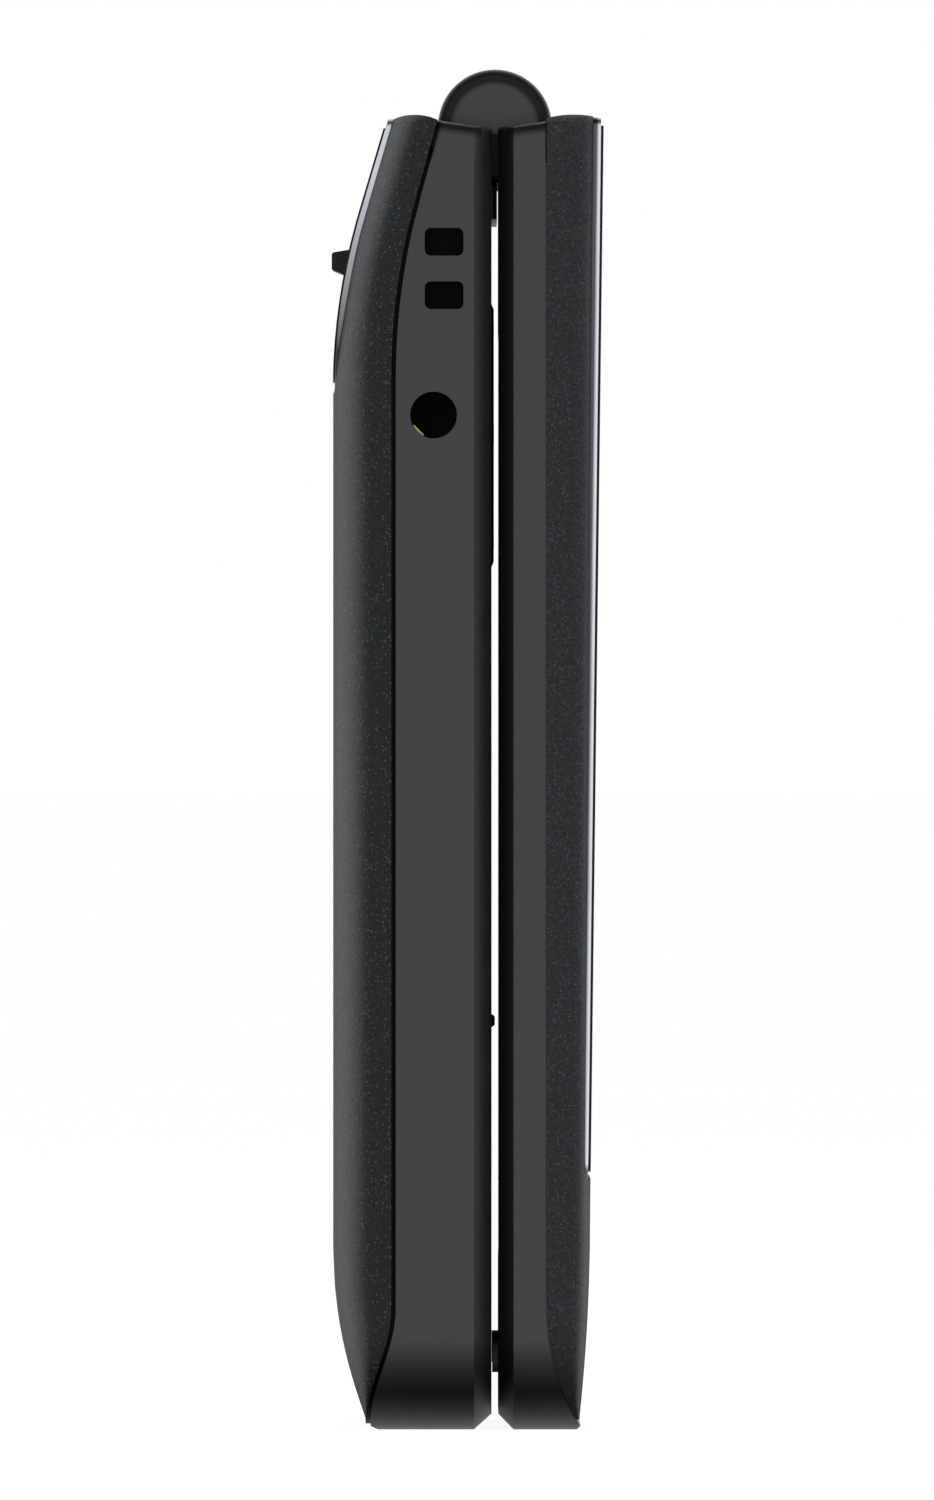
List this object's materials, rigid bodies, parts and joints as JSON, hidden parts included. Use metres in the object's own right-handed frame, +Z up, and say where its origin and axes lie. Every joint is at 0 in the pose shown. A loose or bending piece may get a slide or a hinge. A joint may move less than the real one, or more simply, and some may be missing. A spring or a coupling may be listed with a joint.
{
  "type": "flip phone",
  "caption": "Closed clamshell mobile phone standing on its foot: keypad base, hinged lid with outer glass, barrel hinge, side headphone socket and lanyard loop.",
  "frame": {"origin": "centre of the footprint of the closed phone, on the surface that it stands on", "axes": "+Z up along the length towards the hinge, +Y from the lid's front to the base's back, +X towards the side with the volume rocker"},
  "size_m": [0.053, 0.021, 0.1048],
  "materials": {
    "frame_plastic": "satin",
    "satin_paint": "satin, fine metallic sparkle",
    "black_glass": "polished",
    "bright_trim": "polished",
    "key_plastic": "satin",
    "green_key": "satin",
    "red_key": "satin",
    "black_plastic": "satin",
    "grey_plastic": "matt",
    "silicone": "matt",
    "black_rubber": "matt",
    "steel": "satin",
    "gold_contact": "satin",
    "board_green": "satin",
    "polyester": "satin",
    "battery_sleeve": "satin",
    "lens": "polished",
    "flash": "polished",
    "display": "polished",
    "magnet": "satin"
  },
  "bodies": {
    "base": {"base_frame": "frame_plastic", "battery_cover": "satin_paint", "rear_chassis": "grey_plastic", "camera_panel": "black_glass", "camera_trim": "bright_trim", "camera_module": "black_plastic", "camera_lens": "lens", "flash_lens": "flash", "loudspeaker": "black_plastic", "battery": "battery_sleeve", "battery_contacts": "gold_contact", "sim_holder": "steel", "main_board": "board_green", "shield_cans": "steel", "keypad_membrane": "silicone", "dome_sheet": "polyester", "jack_socket": "black_plastic", "jack_contact": "gold_contact", "usb_socket": "steel", "vibration_motor": "steel", "antenna": "gold_contact", "base_screws": "steel", "hinge_pin": "steel", "hinge_cartridge": "steel", "hinge_caps": "frame_plastic"},
    "lid": {"lid_frame": "frame_plastic", "lid_cover": "satin_paint", "lid_glass": "black_glass", "lid_trim": "bright_trim", "outer_display": "display", "lid_board": "board_green", "main_display": "display", "display_lens": "lens", "earpiece": "black_plastic", "lid_bumpers": "black_rubber", "lid_magnet": "magnet", "lid_screws": "steel", "hinge_shaft": "steel"},
    "nav_pad": {"nav_pad": "grey_plastic"},
    "nav_ring": {"nav_ring": "key_plastic"},
    "ok_key": {"ok_key": "key_plastic"},
    "soft_key_left": {"soft_key_left": "key_plastic"},
    "soft_key_right": {"soft_key_right": "key_plastic"},
    "call_key": {"call_key": "green_key"},
    "clear_key": {"clear_key": "key_plastic"},
    "end_key": {"end_key": "red_key"},
    "key_1": {"key_1": "key_plastic"},
    "key_2": {"key_2": "key_plastic"},
    "key_3": {"key_3": "key_plastic"},
    "key_4": {"key_4": "key_plastic"},
    "key_5": {"key_5": "key_plastic"},
    "key_6": {"key_6": "key_plastic"},
    "key_7": {"key_7": "key_plastic"},
    "key_8": {"key_8": "key_plastic"},
    "key_9": {"key_9": "key_plastic"},
    "key_star": {"key_star": "key_plastic"},
    "key_0": {"key_0": "key_plastic"},
    "key_hash": {"key_hash": "key_plastic"},
    "volume_rocker": {"volume_rocker": "key_plastic"},
    "sos_slider": {"sos_slider": "black_plastic"}
  },
  "joints": [
    {"name": "lid_hinge", "type": "hinge", "parent": "base", "child": "lid", "pos_m": [0, -0.00212, 0.10045], "axis": [-1, 0, 0], "range_deg": [0, 160]},
    {"name": "nav_up_down", "type": "hinge", "parent": "base", "child": "nav_pad", "pos_m": [0, 0.00052, 0.0768], "axis": [1, 0, 0], "range_deg": [-1, 1], "stiffness_Nm_per_rad": 0.05},
    {"name": "nav_left_right", "type": "hinge", "parent": "nav_pad", "child": "nav_ring", "pos_m": [0, -0.00004, 0.0768], "axis": [0, 0, 1], "range_deg": [-1, 1], "stiffness_Nm_per_rad": 0.05},
    {"name": "ok_key_press", "type": "slide", "parent": "base", "child": "ok_key", "axis": [0, 1, 0], "range_m": [0, 0.0003], "stiffness_N_per_m": 1000},
    {"name": "soft_key_left_press", "type": "slide", "parent": "base", "child": "soft_key_left", "axis": [0, 1, 0], "range_m": [0, 0.0003], "stiffness_N_per_m": 1000},
    {"name": "soft_key_right_press", "type": "slide", "parent": "base", "child": "soft_key_right", "axis": [0, 1, 0], "range_m": [0, 0.0003], "stiffness_N_per_m": 1000},
    {"name": "call_key_press", "type": "slide", "parent": "base", "child": "call_key", "axis": [0, 1, 0], "range_m": [0, 0.0003], "stiffness_N_per_m": 1000},
    {"name": "clear_key_press", "type": "slide", "parent": "base", "child": "clear_key", "axis": [0, 1, 0], "range_m": [0, 0.0003], "stiffness_N_per_m": 1000},
    {"name": "end_key_press", "type": "slide", "parent": "base", "child": "end_key", "axis": [0, 1, 0], "range_m": [0, 0.0003], "stiffness_N_per_m": 1000},
    {"name": "key_1_press", "type": "slide", "parent": "base", "child": "key_1", "axis": [0, 1, 0], "range_m": [0, 0.0003], "stiffness_N_per_m": 1000},
    {"name": "key_2_press", "type": "slide", "parent": "base", "child": "key_2", "axis": [0, 1, 0], "range_m": [0, 0.0003], "stiffness_N_per_m": 1000},
    {"name": "key_3_press", "type": "slide", "parent": "base", "child": "key_3", "axis": [0, 1, 0], "range_m": [0, 0.0003], "stiffness_N_per_m": 1000},
    {"name": "key_4_press", "type": "slide", "parent": "base", "child": "key_4", "axis": [0, 1, 0], "range_m": [0, 0.0003], "stiffness_N_per_m": 1000},
    {"name": "key_5_press", "type": "slide", "parent": "base", "child": "key_5", "axis": [0, 1, 0], "range_m": [0, 0.0003], "stiffness_N_per_m": 1000},
    {"name": "key_6_press", "type": "slide", "parent": "base", "child": "key_6", "axis": [0, 1, 0], "range_m": [0, 0.0003], "stiffness_N_per_m": 1000},
    {"name": "key_7_press", "type": "slide", "parent": "base", "child": "key_7", "axis": [0, 1, 0], "range_m": [0, 0.0003], "stiffness_N_per_m": 1000},
    {"name": "key_8_press", "type": "slide", "parent": "base", "child": "key_8", "axis": [0, 1, 0], "range_m": [0, 0.0003], "stiffness_N_per_m": 1000},
    {"name": "key_9_press", "type": "slide", "parent": "base", "child": "key_9", "axis": [0, 1, 0], "range_m": [0, 0.0003], "stiffness_N_per_m": 1000},
    {"name": "key_star_press", "type": "slide", "parent": "base", "child": "key_star", "axis": [0, 1, 0], "range_m": [0, 0.0003], "stiffness_N_per_m": 1000},
    {"name": "key_0_press", "type": "slide", "parent": "base", "child": "key_0", "axis": [0, 1, 0], "range_m": [0, 0.0003], "stiffness_N_per_m": 1000},
    {"name": "key_hash_press", "type": "slide", "parent": "base", "child": "key_hash", "axis": [0, 1, 0], "range_m": [0, 0.0003], "stiffness_N_per_m": 1000},
    {"name": "volume_rock", "type": "hinge", "parent": "base", "child": "volume_rocker", "pos_m": [0.0255, 0.00188, 0.082], "axis": [0, 1, 0], "range_deg": [-2.5, 2.5], "stiffness_Nm_per_rad": 0.05},
    {"name": "sos_slide", "type": "slide", "parent": "base", "child": "sos_slider", "axis": [0, 0.206, -0.9786], "range_m": [0, 0.002], "stiffness_N_per_m": 200}
  ]
}
